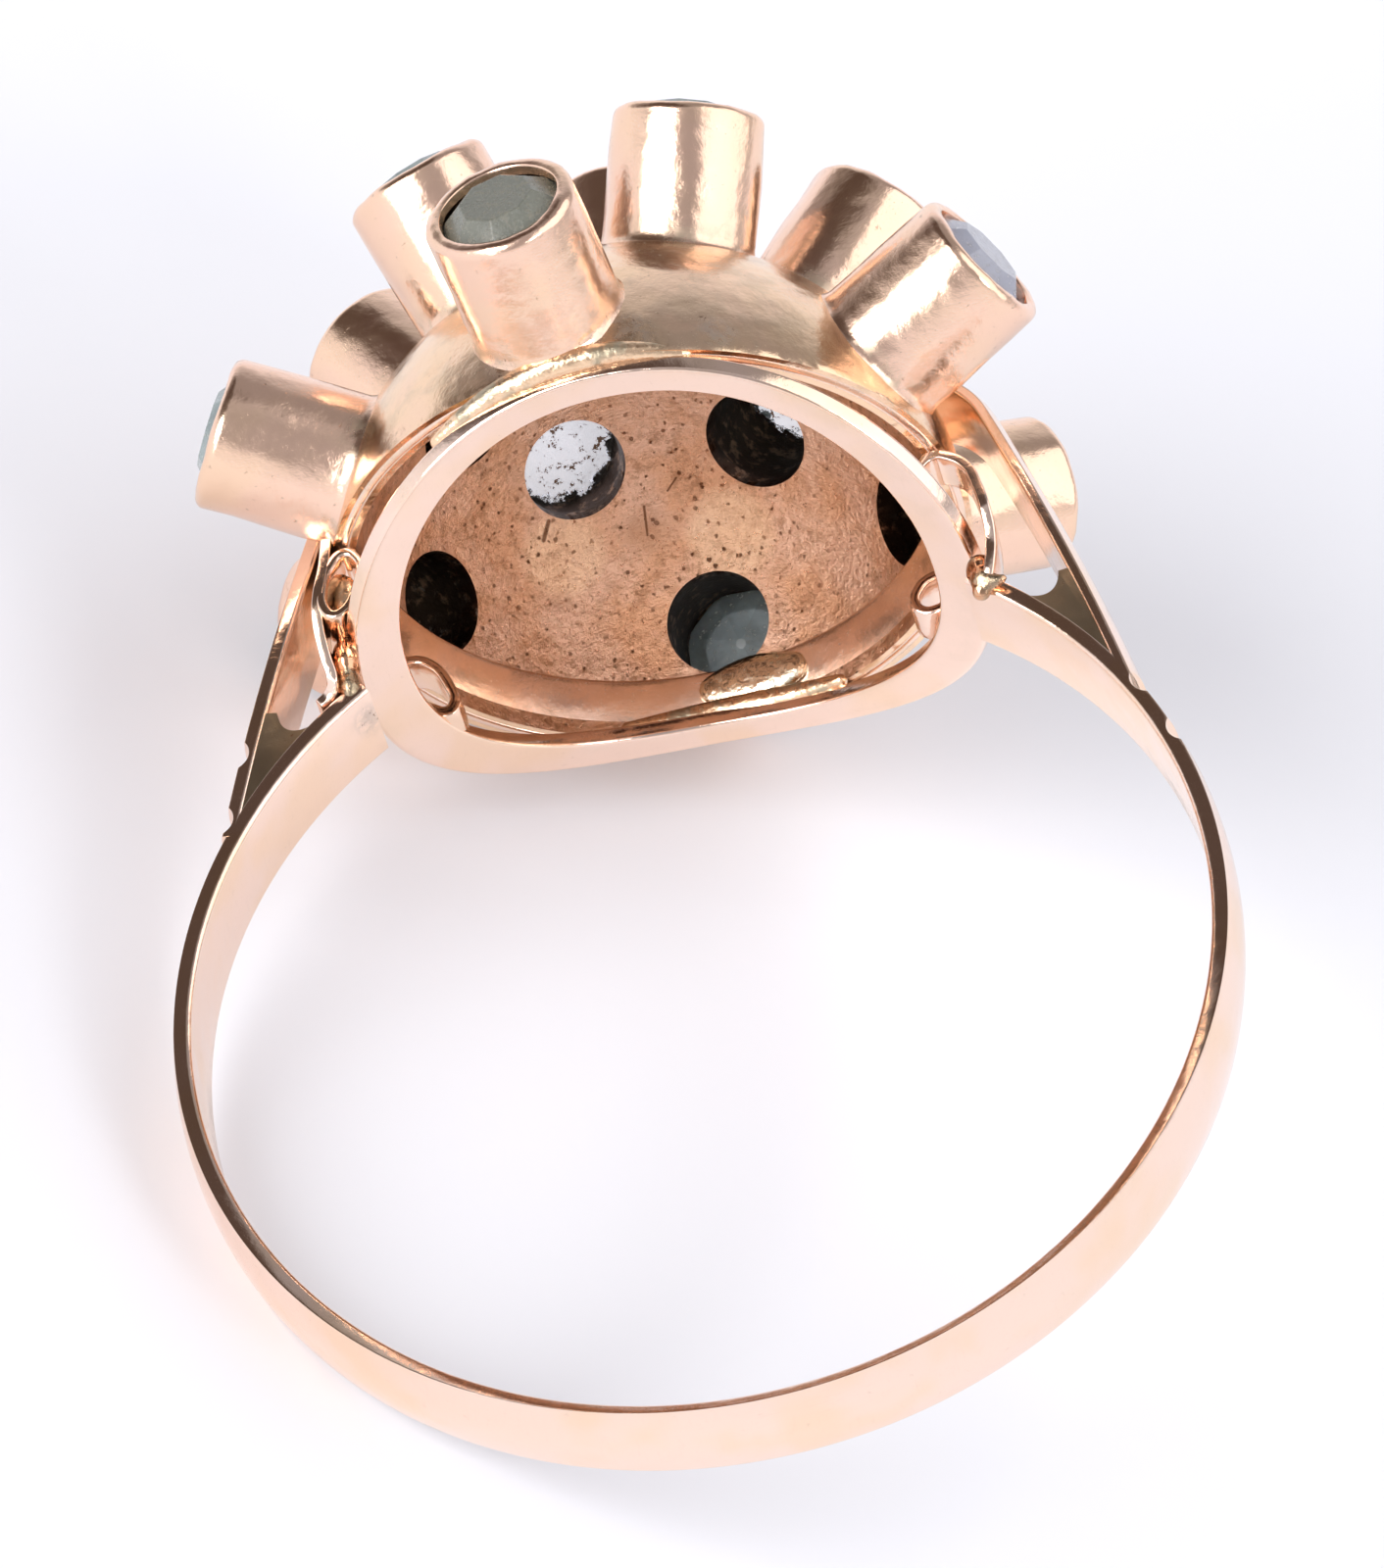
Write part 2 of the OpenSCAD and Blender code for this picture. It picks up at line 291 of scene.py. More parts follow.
def soften(piece, width, segments, angle):
    """Round the edges that are sharper than an angle in degrees."""
    modify(piece, "BEVEL", width=width, segments=segments, limit_method="ANGLE", angle_limit=radians(angle))


def combine(piece, tool, operation="DIFFERENCE"):
    """Boolean a piece with a tool, which is used up."""
    modify(piece, "BOOLEAN", object=tool, operation=operation, solver="EXACT")
    bpy.data.objects.remove(tool)


def clean(piece, reach=0.0005):
    """Merge doubled points and turn every face outwards."""
    edit(piece)
    bpy.ops.mesh.remove_doubles(threshold=reach)
    bpy.ops.mesh.normals_make_consistent(inside=False)
    clear()


def flip(piece):
    """Turn every face of a piece round."""
    edit(piece)
    bpy.ops.mesh.flip_normals()
    clear()


def mirrored(piece):
    """Mirror an upright piece across the ring and turn its faces outwards again."""
    piece.data.transform(Matrix.Diagonal((-1, 1, 1, 1)))
    flip(piece)


def copied(pattern, name, place):
    """Copy of a pattern in its place, with a mesh of its own."""
    piece = pattern.copy()
    piece.data = pattern.data.copy()
    piece.name = name
    piece.data.name = name
    bpy.context.collection.objects.link(piece)
    piece.data.transform(place)
    return piece


def lay(piece, finish, angle=32, stands_for=()):
    """Shade a piece smooth up to an angle, lay it on its side, dress it and let it ride on the ring."""
    only(piece)
    bpy.ops.object.shade_smooth_by_angle(angle=radians(angle))
    clear()
    piece.data.transform(LAY)
    piece.data.update()
    if finish:
        piece.data.materials.append(bpy.data.materials[finish])
    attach(piece, "root")
    if stands_for:
        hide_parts(*stands_for)


def head_centre():
    """Centre of the dome's sphere."""
    head = props("head")
    return Vector((head.head_x, 0, head.dome_z))


def along(azimuth, elevation):
    """Matrix from a collet standing along Z at the origin to its place round the dome's centre."""
    turn = Matrix.Rotation(radians(azimuth - 90), 4, "Z") @ Matrix.Rotation(radians(90 - elevation), 4, "Y")
    return Matrix.Translation(head_centre()) @ turn


def upright_cylinder(name, radius, centre, length, sides):
    """Cylinder along the finger's direction."""
    clear()
    bpy.ops.mesh.primitive_cylinder_add(
        vertices=sides, radius=radius, depth=length, location=centre, rotation=(pi / 2, 0, 0)
    )
    return started(name)


def cone(name, sides, low_r, high_r, low, high):
    """Cone or cylinder along Z, with its flat ends at these heights."""
    clear()
    bpy.ops.mesh.primitive_cone_add(
        vertices=sides, radius1=low_r, radius2=high_r, depth=high - low, location=(0, 0, (low + high) / 2)
    )
    return started(name)


def ball(name, radius, segments):
    """Sphere round the dome's centre."""
    clear()
    bpy.ops.mesh.primitive_uv_sphere_add(
        segments=segments, ring_count=segments // 2, radius=radius, location=head_centre()
    )
    return started(name)


# Materials


class Shade:
    """A value or colour on its way through a material: arithmetic on it adds the nodes for it."""

    def __init__(self, tree, socket=None):
        self.tree = tree
        self.socket = socket

    def node(self, kind, settings, inputs, output=0):
        """Add a node of any kind: its settings first, then the values or links of its sockets."""
        node = self.tree.nodes.new("ShaderNode" + kind)
        for name, value in settings.items():
            setattr(node, name, value)
        for name, value in inputs.items():
            if isinstance(value, Shade):
                self.tree.links.new(value.socket, node.inputs[name])
            else:
                node.inputs[name].default_value = value
        return Shade(self.tree, node.outputs[output])

    def maths(self, operation, *values):
        return self.node("Math", {"operation": operation}, dict(enumerate(values)))

    def __add__(self, other):
        return self.maths("ADD", self, other)

    def __sub__(self, other):
        return self.maths("SUBTRACT", self, other)

    def __rsub__(self, other):
        return self.maths("SUBTRACT", other, self)

    def __mul__(self, other):
        return self.maths("MULTIPLY", self, other)

    __radd__ = __add__
    __rmul__ = __mul__


def emptied(owner):
    """Shade to start from in the emptied node tree of a material or a world."""
    owner.use_nodes = True
    owner.node_tree.nodes.clear()
    return Shade(owner.node_tree)


def ended(shader, kind):
    """Link a finished shader to its tree's output."""
    output = shader.tree.nodes.new(f"ShaderNodeOutput{kind}")
    shader.tree.links.new(shader.socket, output.inputs["Surface"])


def mix(name, recipe, *settings, **more):
    """Mix a material by a recipe, which gives its shader's inputs from the place on the ring."""
    material = bpy.data.materials.new(name)
    shade = emptied(material)
    inputs = recipe(upright_place(shade), props("finishes"), *settings, **more)
    ended(shade.node("BsdfPrincipled", {}, inputs), "Material")


def metal(base, roughness, normal):
    """Inputs of a metal's shader."""
    return {"Base Color": base, "Metallic": 1.0, "Roughness": roughness, "Normal": normal}


def upright_place(shade):
    """Place on the upright ring in millimetres, worked back from the laid object's own coordinates."""
    back = LAY_TURN.to_3x3().transposed()
    shift = back @ (Vector(HOLE["pos_m"]) * -1 / MM)
    place = shade.node("TexCoord", {}, {}, "Object")
    return shade.node(
        "Mapping",
        {"vector_type": "POINT"},
        {"Vector": place, "Location": shift, "Rotation": back.to_euler(), "Scale": (1 / MM, 1 / MM, 1 / MM)},
    )


def noise(place, scale, detail=3.0, rough=0.55):
    """Cloudy noise between about 0.25 and 0.75; scale counts its blots in a millimetre."""
    inputs = {"Vector": place, "Scale": scale, "Detail": detail, "Roughness": rough}
    return place.node("TexNoise", {"noise_dimensions": "3D"}, inputs, "Fac")


def cells(place, feature, scale):
    """Distance inside a pattern of cells."""
    return place.node("TexVoronoi", {"feature": feature}, {"Vector": place, "Scale": scale}, "Distance")


def ramp(value, low, high):
    """Smooth step from 0 at low to 1 at high."""
    inputs = {"Value": value, "From Min": low, "From Max": high, "To Min": 0.0, "To Max": 1.0}
    return value.node("MapRange", {"interpolation_type": "SMOOTHSTEP"}, inputs)


def flat(tint):
    """A colour as a socket takes it."""
    return tint if isinstance(tint, Shade) else (*tint, 1.0)


def layered(base, *layers):
    """A colour with tints over it, each laid on by its factor."""
    for factor, tint in layers:
        base = factor.node("Mix", {"data_type": "RGBA"}, {"Factor": factor, 6: flat(base), 7: flat(tint)}, 2)
    return base


def stretched(place, factors, turn):
    """The place, stretched and turned, for scratches and brush marks."""
    inputs = {"Vector": place, "Rotation": turn, "Scale": factors}
    return place.node("Mapping", {"vector_type": "POINT"}, inputs)


def measured(operation, place, other):
    """Distance or dot product of two vectors."""
    return place.node("VectorMath", {"operation": operation}, {0: place, 1: other}, "Value")


def distance(place, point):
    """Distance of a place from a point."""
    return measured("DISTANCE", place, point)


def bump(height, strength, depth):
    """Normal from a height; depth is in millimetres."""
    return height.node("Bump", {}, {"Height": height, "Strength": strength, "Distance": depth * MM})


def near(place, points, ragged):
    """Patches round some places, each a point and a radius, with ragged edges."""
    total = 0.0
    for point, radius in points:
        total = total + ramp(distance(place, point) + 0.5 * ragged, radius + 0.45, radius + 0.1)
    return total


def behind(name, out):
    """Place on the axis of a stone's collet, at a distance from the dome's centre."""
    return along(*COLLETS[name]) @ Vector((0, 0, out))


def scratches(place):
    """Faint fine scratches in two directions."""
    first = noise(stretched(place, (1.2, 14, 9), (0.3, 0.2, 0.5)), 1.6, 3.0, 0.65)
    second = noise(stretched(place, (12, 1.5, 10), (0.1, 0.7, 0.2)), 1.4, 3.0, 0.65)
    return ramp(first, 0.56, 0.72) + ramp(second, 0.57, 0.74)


# Distances from the dome's centre of the stones' middles and of the glowing sheet of painted light behind
# two of them
STONE_OUT = 7.5
GLOW_OUT = 6.3

# Grey and olive stains left by the solder, each a place and a radius
STAINS = (
    ((-5.3, -0.3, 6.8), 0.28),
    ((-5.2, 0.05, 6.75), 0.22),
    ((5.45, -0.7, 7.2), 0.15),
    ((0.4, -5.35, 10.0), 0.5),
    ((-1.6, -5.1, 10.0), 0.45),
    ((1.9, -5.0, 10.0), 0.35),
)


def gold(place, tints, tint, second, roughness, stain=0.35, wave=0.5, specks=0.0):
    """Worn, hand polished gold: drifting colour, faint scratches, and tarnish near the dome's skin."""
    fine = scratches(place)
    ragged = noise(place, 3.5, 4.0, 0.7)
    radius = distance(place, head_centre())
    near_skin = ramp(radius, 6.0, 5.6) * ramp(radius, 5.2, 5.5)
    dirt = near_skin * ramp(noise(place, 1.3, 4.0, 0.6), 0.45, 0.62) * stain
    soldered = near(place, STAINS, ragged) * ramp(ragged, 0.38, 0.6)
    pitted = ramp(noise(place, 7.5, 4.0, 0.75), 0.64, 0.7)
    base = layered(
        tint,
        (ramp(noise(place, 0.55, 2.0), 0.4, 0.65) * 0.5, second),
        (fine * 0.03, tints.tarnish),
        (dirt, tints.olive),
        (soldered * 0.6, tints.silver),
        (pitted * (specks + 3.0 * soldered), tints.tarnish),
    )
    waves = noise(place, 0.9, 2.0, 0.5) + 0.22 * noise(place, 2.6, 2.0, 0.5)
    waves = waves + 0.08 * noise(place, 11.0, 3.0, 0.7)
    height = waves * wave - fine * 0.012 - pitted * (0.05 * specks)
    dull = 0.05 * fine + 0.25 * dirt + 0.2 * soldered + 0.06 * noise(place, 5.0, 3.0)
    return metal(base, roughness + dull, bump(height, 0.5, 0.09))


# Short cracks in the dome, each from one place to another
CRACKS = (
    ((-2.39, 2.96, 13.01), (-2.54, 3.15, 12.76), 0.028),
    ((-0.73, 3.36, 13.27), (-0.77, 3.74, 12.92), 0.016),
    ((-0.27, 3.22, 13.41), (-0.07, 3.06, 13.54), 0.012),
)


# Painted highlights inside the dome where the lights' hot spots fall, and the browner painted dark
# reflection between them, each with a radius
PAINTED_HOT_SPOTS = (((-2.25, 3.45, 12.6), 0.55), ((0.7, 3.84, 12.7), 0.6))
PAINTED_DARK_REFLECTION = (((-0.75, 3.6, 12.9), 0.15),)


def crack(place, start, end, width):
    """Dark line from one place to another."""
    way = Vector(end) - Vector(start)
    from_start = place.node("VectorMath", {"operation": "SUBTRACT"}, {0: place, 1: start})
    share = measured("DOT_PRODUCT", from_start, way) * (1 / way.length_squared)
    share = share.node("Clamp", {}, {"Value": share, "Min": 0.0, "Max": 1.0})
    foot = share.node("VectorMath", {"operation": "SCALE"}, {0: way, "Scale": share})
    return ramp(distance(from_start, foot), 2.0 * width, 0.8 * width)


def brushed_inside(place, tints):
    """Dull brushed inside of the dome, with brown specks, pits, short cracks, two painted highlights and a
    browner painted dark reflection between them.
    """
    grain = noise(place, 8.0, 5.0, 0.75)
    clouds = ramp(noise(place, 0.9, 3.0, 0.6), 0.42, 0.6)
    dots = ramp(cells(place, "F1", 5.0) + 0.8 * grain, 0.6, 0.46)
    pits = ramp(noise(place, 3.6, 5.0, 0.8), 0.65, 0.68)
    mottled = ramp(noise(place, 4.5, 6.0, 0.8), 0.45, 0.62)
    streaks = noise(stretched(place, (1.5, 9, 2), (0.4, 0.2, 0.9)), 2.2, 4.0, 0.7)
    dark = dots * (0.25 + 0.75 * clouds) + pits * 0.8
    for line in CRACKS:
        dark = dark + crack(place, *line)
    base = layered(
        tints.inside,
        (ramp(noise(place, 0.8, 3.0), 0.38, 0.66) * 0.35, tints.rose),
        (mottled * (0.3 + 0.35 * clouds), tints.brown),
        # Painted highlights where the lights' hot spots fall, then a painted dark reflection between them
        (near(place, PAINTED_HOT_SPOTS, 0.4 * grain) * 0.7 * (1.0 - 0.5 * mottled), tints.yellow),
        (near(place, PAINTED_DARK_REFLECTION, 0.8 * mottled) * 0.4, tints.brown),
        (dark * 0.9, tints.tarnish),
    )
    height = grain * 0.8 + streaks * 0.5 + noise(place, 1.6, 3.0, 0.6) * 1.2 - dots * 0.4 - pits * 0.5
    return metal(base, 0.22 + 0.14 * grain + 0.2 * dots, bump(height, 0.7, 0.07))


def dark_tube(place, tints):
    """Tarnished wall of a tube behind a stone, darkened further as painted shade of the deep tube, with
    polish left in stripes and a few pale threads.
    """
    streaks = ramp(noise(place, 3.5, 4.0, 0.7), 0.52, 0.68)
    threads = streaks * ramp(cells(place, "DISTANCE_TO_EDGE", 1.3), 0.05, 0.012)
    threads = threads * ramp(distance(place, behind("stone_06", 5.6)), 1.6, 1.2)
    base = layered(tints.tube, (streaks * 0.4, tints.inside), (threads * 0.7, tints.silver))
    height = noise(place, 12.0, 3.0, 0.7) + threads
    return metal(base, 0.42 - 0.12 * streaks + 0.2 * threads, bump(height, 0.5, 0.03))


def solder_metal(place, tints, first, second, roughness, specks):
    """Solder: shiny in places and dull in others, with dark grit in it."""
    blots = ramp(noise(place, 1.4, 3.0, 0.6), 0.45, 0.6)
    grit = noise(place, 7.0, 4.0, 0.75)
    dark = ramp(grit, 0.58, 0.66) * (0.2 + 0.8 * blots) * specks
    base = layered(first, (blots, second), (dark, tints.tarnish))
    height = grit * 0.3 * blots + noise(place, 2.2, 3.0)
    return metal(base, roughness + 0.15 * blots + 0.2 * dark, bump(height, 0.6, 0.1))


def pale_stone(place, tints):
    """Abraded glass: dull olive in front, clearer at the right, grey green elsewhere."""
    rub = ramp(noise(place, 7.0, 4.0, 0.7), 0.48, 0.7)
    front = ramp(distance(place, behind("stone_02", STONE_OUT)), 1.9, 1.5)
    side = ramp(distance(place, behind("stone_03", STONE_OUT)), 1.9, 1.5)
    base = layered(
        tints.stone,
        (ramp(noise(place, 1.2, 3.0, 0.6), 0.4, 0.65), tints.stone * 0.7),
        (front, tints.front_stone),
        (side, tints.side_stone),
        (rub * 0.35, tints.olive),
    )
    return {
        "Base Color": base,
        "Roughness": 0.07 + 0.28 * rub + 0.12 * front,
        "Normal": bump(noise(place, 14.0, 4.0, 0.7), 0.3, 0.02),
        "IOR": 1.6,
        "Transmission Weight": 0.55,
    }


def pale_crust(place, tints):
    """Painted light behind two of the stones: a pale sheet in flaking patches that glows for the light
    coming through them, seen through the dome's bores.
    """
    flakes = noise(place, 3.2, 6.0, 0.8)
    marks = ramp(noise(place, 5.5, 4.0, 0.8), 0.57, 0.6)
    left = ramp(distance(place, behind("stone_11", GLOW_OUT)) + flakes, 1.45, 1.4)
    middle = behind("stone_10", GLOW_OUT) + Vector((0.5, -0.4, 0.05))
    return {
        "Base Color": layered(tints.glow_colour, (marks, tints.tarnish)),
        "Roughness": 0.6,
        "Alpha": left + ramp(distance(place, middle) + 1.2 * flakes, 1.5, 1.42),
        "Emission Color": layered(tints.glow_colour, (marks, (0.1, 0.07, 0.05))),
        "Emission Strength": 0.5,
        "Normal": bump(flakes, 0.6, 0.05),
    }


# The shank


class Arcs:
    """Where the arcs of the forked shank lie, worked out from its sizes."""

    def __init__(self, shank, head):
        self.out = shank.finger_r + shank.edge
        self.crest = self.out + shank.crown
        self.branch_t = shank.branch_edge + shank.branch_crown
        self.end = acos(head.gallery_x / self.out)
        self.fork = Vector((sqrt((self.crest + shank.collar) ** 2 - shank.fork_z ** 2), shank.fork_z))
        bend = Vector((shank.bend_x, shank.bend_z))
        chord = bend - self.fork
        self.radius = ((chord.length / 2) ** 2 + shank.bow ** 2) / (2 * shank.bow)
        outwards = Vector((chord.y, -chord.x)).normalized()
        self.centre = (self.fork + bend) / 2 - outwards * (self.radius - shank.bow)
        self.mid = atan2(outwards.y, outwards.x)
        self.half = asin(chord.length / 2 / self.radius)
        self.bend_centre = bend - (bend - self.centre) / self.radius * shank.bend_r
        # The gap between the branches opens halfway between their two directions
        self.crotch = Vector((shank.crotch_x, shank.crotch_z))
        inner_way = Vector((-self.crotch.y, self.crotch.x)).normalized()
        self.gap = (inner_way + chord.normalized()).normalized()

    def inner_side(self, z, sink):
        """Point inside the outer branch, a little under its finger side, at a height."""
        radius = self.radius - self.branch_t + sink
        return Vector((self.centre.x + sqrt(radius ** 2 - (z - self.centre.y) ** 2), z))

    def outer_side(self, z, sink):
        """Point inside the inner branch, a little under its outer side, at a height."""
        return Vector((sqrt((self.out - sink) ** 2 - z ** 2), z))

    def crest_x(self, z, fork_z):
        """Distance of a shoulder's crest from the middle of the ring, at a height."""
        if z < fork_z:
            return sqrt(self.crest ** 2 - z ** 2)
        return self.centre.x + sqrt(self.radius ** 2 - (z - self.centre.y) ** 2)


def across(point):
    """Point of the ring's own plane, in space."""
    return Vector((point[0], 0, point[1]))


def strip_section(name, inner, edge, crown, width):
    """Outline of a strip's section on the +X side of the origin: flat inside, crowned outside."""
    outer = inner + edge
    crown_r = ((width / 2) ** 2 + crown ** 2) / (2 * crown)
    clear()
    bpy.ops.mesh.primitive_circle_add(
        vertices=256, radius=crown_r, fill_type="NGON", location=(outer + crown - crown_r, 0, 0)
    )
    section = started(name)
    edit(section)
    bpy.ops.mesh.bisect(plane_co=(outer, 0, 0), plane_no=(1, 0, 0), clear_inner=True)
    choose(section, "EDGE", lambda part: all(abs(corner.co.x - outer) < 0.002 for corner in part.verts))
    bpy.ops.mesh.extrude_region_move(TRANSFORM_OT_translate={"value": (-edge, 0, 0)})
    choose(section, "FACE")
    bpy.ops.mesh.dissolve_faces()
    # the four corners are rounded before the outline is swept
    choose(section, "VERT", lambda part: abs(abs(part.co.y) - width / 2) < 0.001)
    bpy.ops.mesh.bevel(offset=edge * 0.32, segments=5, affect="VERTICES")
    choose(section, "FACE")
    bpy.ops.mesh.delete(type="ONLY_FACE")
    choose(section, "EDGE")
    return section


def turn_about(piece, centre, angle):
    """Turn a piece in the ring's plane about a centre, from +X towards +Z."""
    clear()
    move = Matrix.Translation(centre)
    piece.data.transform(move @ Matrix.Rotation(-angle, 4, "Y") @ move.inverted())


def sweep(centre, angle, steps):
    """Spin what is selected in the ring's plane about a centre, from +X towards +Z."""
    bpy.ops.mesh.spin(steps=steps, angle=angle, center=centre, axis=(0, 1, 0))


def close_ends(piece):
    """Close a swept strip's two open ends."""
    clean(piece)
    edit(piece)
    bpy.ops.mesh.fill_holes(sides=0)
    clean(piece)


def make_band(shank, arcs):
    """Round band, its front edge worn on the finger side along the bottom and the right."""
    band = strip_section("band", shank.finger_r, shank.edge, shank.crown, shank.width)
    turn_about(band, Vector(), pi - arcs.end)
    edit(band)
    sweep((0, 0, 0), pi + 2 * arcs.end, 240)
    close_ends(band)
    front = -0.4 * shank.width
    lean = 0.25
    for vertex in band.data.vertices:
        x, y, z = vertex.co
        radius = hypot(x, z)
        low = min(1, max(0, lean * x - z) / radius)
        inwards = min(1, max(0, (arcs.out - radius) / shank.edge))
        if y < front:
            vertex.co.y += shank.worn * low * inwards
    return band


def make_branch(name, crown, shank, arcs):
    """Outer branch of the +X shoulder, from the fork to inside the dome's wall."""
    centre = across(arcs.centre)
    branch = strip_section(name, arcs.radius - arcs.branch_t, arcs.branch_t - crown, crown, shank.width)
    clear()
    branch.data.transform(Matrix.Translation(centre))
    turn_about(branch, centre, arcs.mid - arcs.half)
    edit(branch)
    sweep(centre, 2 * arcs.half, 60)
    sweep(across(arcs.bend_centre), shank.bend_angle, 28)
    close_ends(branch)
    return branch


def make_web(name, shank, arcs):
    """Web that fills the +X fork up to its round crotch, with an arm up each branch."""
    sink = shank.edge / 3
    corners = (
        arcs.fork - Vector((shank.crown + shank.edge / 2, 0)),
        arcs.inner_side(shank.crotch_z + shank.web_arm, sink),
        arcs.outer_side(shank.crotch_z + shank.web_arm * 0.6, sink),
    )
    width = shank.width - 2 * shank.web_recess
    clear()
    bpy.ops.mesh.primitive_circle_add(vertices=3, radius=1, fill_type="NGON")
    web = started(name)
    for corner, vertex in zip(corners, web.data.vertices):
        vertex.co = across(corner) - Vector((0, width / 2, 0))
    edit(web)
    bpy.ops.mesh.extrude_region_move(TRANSFORM_OT_translate={"value": (0, width, 0)})
    clean(web)
    oval = upright_cylinder("crotch", 1, Vector(), 4, 128)
    sideways = across((arcs.gap.y, -arcs.gap.x)) * shank.crotch_w
    lengthways = across(arcs.gap) * shank.crotch_l
    oval.data.transform(Matrix((sideways, (0, 1, 0), lengthways)).transposed().to_4x4())
    oval.data.transform(Matrix.Translation(across(arcs.crotch) + lengthways))
    combine(web, oval)
    soften(web, 0.04, 3, 40)
    return web


# Heights of the cuts across the outside of each shoulder
LEFT_NOTCHES = (4.85, 6.19)
RIGHT_NOTCHES = (3.2, 4.35)


def cut_notches(piece, heights, side, shank, arcs):
    """Round cuts across the outside of one shoulder."""
    for z in heights:
        x = arcs.crest_x(z, shank.fork_z) + shank.notch_r - shank.notch_depth
        combine(piece, upright_cylinder("notch", shank.notch_r, (side * x, 0, z), shank.width + 1, 32))


class RING_OT_shank(bpy.types.Operator):
    """Model the round band and its two forked shoulders"""

    bl_idname = "ring.shank"
    bl_label = "Shank"

    def execute(self, context):
        shank = props("shank")
        head = props("head")
        arcs = Arcs(shank, head)
        band = make_band(shank, arcs)
        cut_notches(band, RIGHT_NOTCHES, 1, shank, arcs)
        soften(band, 0.035, 3, 28)
        lay(band, "rose_gold", 50, stands_for=["mount"])
        for side, hand, heights, crown in (
            (1, "right", RIGHT_NOTCHES, shank.branch_crown),
            (-1, "left", LEFT_NOTCHES, shank.left_crown),
        ):
            branch = make_branch("outer_branch_" + hand, crown, shank, arcs)
            web = make_web("fork_web_" + hand, shank, arcs)
            if side < 0:
                mirrored(branch)
                mirrored(web)
            cut_notches(branch, heights, side, shank, arcs)
            combine(branch, ball("cut", head.dome_in + head.dome_wall / 2, 96))
            soften(branch, 0.035, 3, 28)
            lay(branch, "rose_gold", 50)
            lay(web, "web_gold", 40)
        return {"FINISHED"}


# The head


def superellipse(angle, half_x, half_y, power):
    """Point of a round-cornered outline at an angle."""
    x = half_x * copysign(abs(cos(angle)) ** (2 / power), cos(angle))
    y = half_y * copysign(abs(sin(angle)) ** (2 / power), sin(angle))
    return x, y


def strip_round(name, shape, inside, thickness, offset):
    """Strip round the head: shape gives a point's place from its angle and its share of the width."""
    rows = 8
    clear()
    bpy.ops.mesh.primitive_circle_add(vertices=192, radius=1, fill_type="NOTHING")
    piece = started(name)
    edit(piece)
    for row in range(rows):
        pull((0, 0, 1 / rows))
    clear()
    for vertex in piece.data.vertices:
        x, y, share = vertex.co
        vertex.co = shape(atan2(y, x), share)
    clean(piece)
    face = piece.data.polygons[0]
    if face.normal.dot(face.center - inside) < 0:
        flip(piece)
    modify(piece, "SOLIDIFY", thickness=thickness, offset=offset)
    return piece


class RING_OT_gallery(bpy.types.Operator):
    """Model the saddle shaped gallery strip"""

    bl_idname = "ring.gallery"
    bl_label = "Gallery"

    def execute(self, context):
        head = props("head")

        def saddle(angle, share):
            thick = head.gallery_rear if sin(angle) > 0 else head.gallery_front
            half_x = head.gallery_x - share * head.gallery_w
            x, y = superellipse(angle, half_x, head.opening_y + thick * (1 - share), 2.2)
            return x, y, sqrt(head.saddle_r ** 2 - x ** 2)

        gallery = strip_round("gallery", saddle, Vector(), head.gallery_t, 1.0)
        soften(gallery, 0.13, 5, 50)
        lay(gallery, "rose_gold")
        return {"FINISHED"}


class RING_OT_dome(bpy.types.Operator):
    """Model the bored dome and the rim strip in its mouth"""

    bl_idname = "ring.dome"
    bl_label = "Dome"

    def execute(self, context):
        self.dome(props("head"), head_centre())
        self.rim(props("head"), head_centre())
        return {"FINISHED"}

    def dome(self, head, centre):
        outer = head.dome_in + head.dome_wall
        bore_r = props("collets").bore_r
        dome = ball("dome", outer, 192)
        edit(dome)
        cut_at = centre + Vector((0, 0, head.skirt))
        bpy.ops.mesh.bisect(plane_co=cut_at, plane_no=(0, 0, 1), clear_inner=True)
        modify(dome, "SOLIDIFY", thickness=head.dome_wall, offset=-1.0)
        for direction in COLLETS.values():
            bore = cone("bore", 64, bore_r, bore_r, outer - 1, outer + 1)
            bore.data.transform(along(*direction))
            combine(dome, bore)
        soften(dome, 0.035, 2, 55)
        for finish in ("yellow_gold", "dome_inside", "dark_tube"):
            dome.data.materials.append(bpy.data.materials[finish])
        # Bore walls take the near black tube finish, painted shade as in the tubes
        for face in dome.data.polygons:
            spoke = face.center - centre
            if abs(face.normal.dot(spoke.normalized())) < 0.5 and spoke.z > head.skirt + 0.1:
                face.material_index = 2
            elif spoke.length < outer - 0.8 * head.dome_wall:
                face.material_index = 1
        lay(dome, None, 25)

    def rim(self, head, centre):
        base = head.saddle_r + head.gallery_t - 0.04

        def wall(angle, share):
            spread = head.rim_flare * (1 - share) - head.rim_crown * sin(pi * share)
            radius = head.rim_in + head.rim_t + spread
            return centre.x + radius * cos(angle), radius * sin(angle), base + head.rim_h * share

        rim = strip_round("rim_strip", wall, centre, head.rim_t, -1.0)
        soften(rim, 0.07, 4, 50)
        lay(rim, "rim_gold")


# Collets and stones


def girdle_height():
    """Distance of a stone's girdle from the dome's centre."""
    collet = props("collets")
    return collet.tip - collet.lip_t - props("stones").gap - 0.06


def arc(middle, wide, tall, first, last, steps):
    """Points round part of an oval, from one angle in degrees to another."""
    turns = [radians(first + (last - first) * step / steps) for step in range(steps + 1)]
    return [(middle[0] + wide * cos(turn), middle[1] + tall * sin(turn)) for turn in turns]


